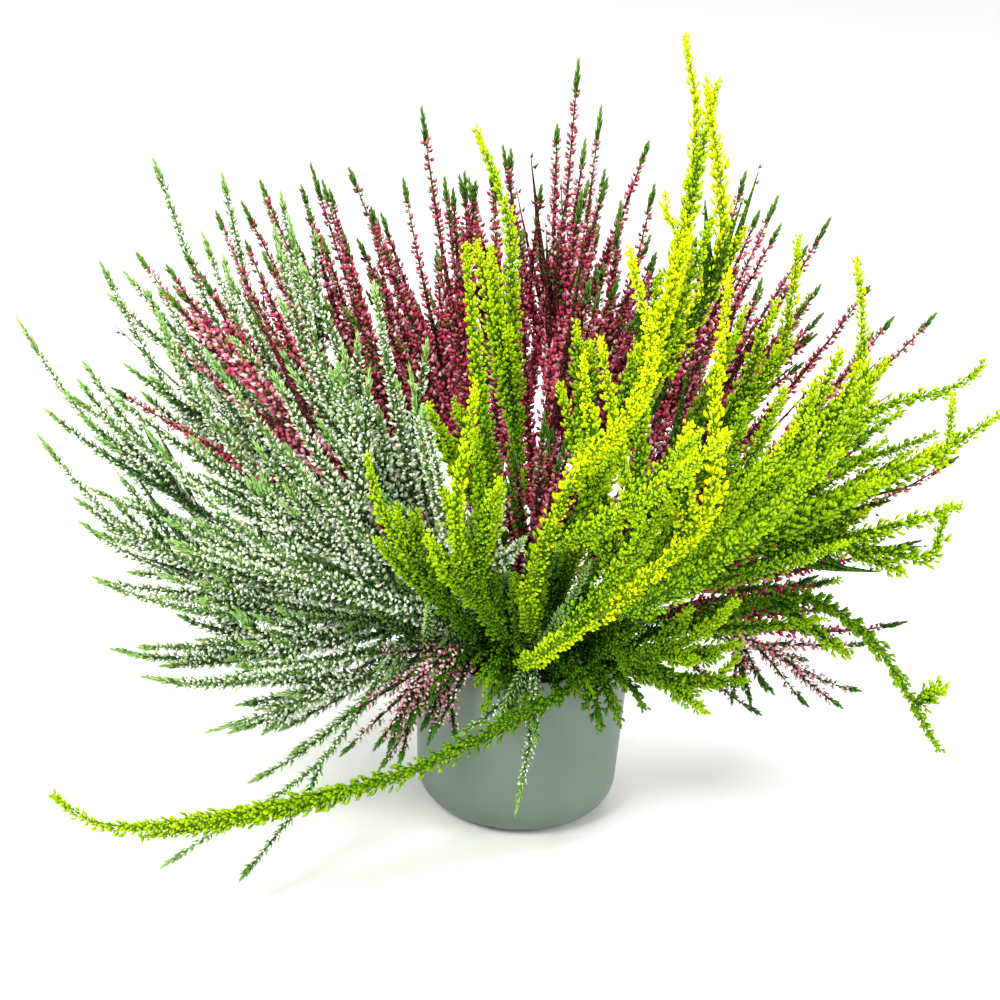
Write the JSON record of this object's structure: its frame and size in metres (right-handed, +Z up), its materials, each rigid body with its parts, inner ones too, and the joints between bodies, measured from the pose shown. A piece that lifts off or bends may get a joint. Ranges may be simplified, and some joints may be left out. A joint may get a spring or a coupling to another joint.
{
  "type": "potted heather",
  "caption": "Bushy heather with white and crimson flower spikes and yellow-green leafy stems fanning out of a plain round plastic pot that stands on its flat base.",
  "frame": {"origin": "centre of the pot's flat underside", "axes": "+Z up, the pot's axis; the plant's fuller front faces -Y, its white side is towards -X and its yellow-green side towards +X"},
  "size_m": [0.522, 0.4475, 0.435],
  "materials": {
    "pot_plastic": "satin",
    "potting_soil": "matte",
    "white_heather": "matte",
    "crimson_heather": "matte",
    "pink_heather": "matte",
    "lime_heather": "matte"
  },
  "bodies": {
    "root": {"pot": "pot_plastic", "soil": "potting_soil", "crimson_spray_01": "crimson_heather", "crimson_spray_02": "crimson_heather", "crimson_spray_03": "crimson_heather", "crimson_spray_04": "crimson_heather", "crimson_spray_05": "crimson_heather", "crimson_spray_06": "crimson_heather", "crimson_spray_07": "crimson_heather", "crimson_spray_08": "crimson_heather", "crimson_spray_09": "crimson_heather", "crimson_spray_10": "crimson_heather", "crimson_spray_11": "crimson_heather", "crimson_spray_12": "crimson_heather", "crimson_spray_13": "crimson_heather", "crimson_spray_14": "crimson_heather", "crimson_spray_15": "crimson_heather", "crimson_spray_16": "crimson_heather", "crimson_spray_17": "crimson_heather", "crimson_spray_18": "crimson_heather", "lime_spray_01": "lime_heather", "lime_spray_02": "lime_heather", "lime_spray_03": "lime_heather", "lime_spray_04": "lime_heather", "lime_spray_05": "lime_heather", "lime_spray_06": "lime_heather", "lime_spray_07": "lime_heather", "lime_spray_08": "lime_heather", "lime_spray_09": "lime_heather", "lime_spray_10": "lime_heather", "lime_spray_11": "lime_heather", "lime_spray_12": "lime_heather", "lime_spray_13": "lime_heather", "lime_spray_14": "lime_heather", "lime_spray_15": "lime_heather", "lime_spray_16": "lime_heather", "lime_spray_17": "lime_heather", "lime_spray_18": "lime_heather", "lime_spray_19": "lime_heather", "pink_spray_01": "pink_heather", "pink_spray_02": "pink_heather", "white_spray_01": "white_heather", "white_spray_02": "white_heather", "white_spray_03": "white_heather", "white_spray_04": "white_heather", "white_spray_05": "white_heather", "white_spray_06": "white_heather", "white_spray_07": "white_heather", "white_spray_08": "white_heather", "white_spray_09": "white_heather", "white_spray_10": "white_heather", "white_spray_11": "white_heather", "white_spray_12": "white_heather", "white_spray_13": "white_heather", "white_spray_14": "white_heather", "white_spray_15": "white_heather", "white_spray_16": "white_heather", "white_spray_17": "white_heather", "white_spray_18": "white_heather", "white_spray_19": "white_heather"}
  },
  "joints": []
}
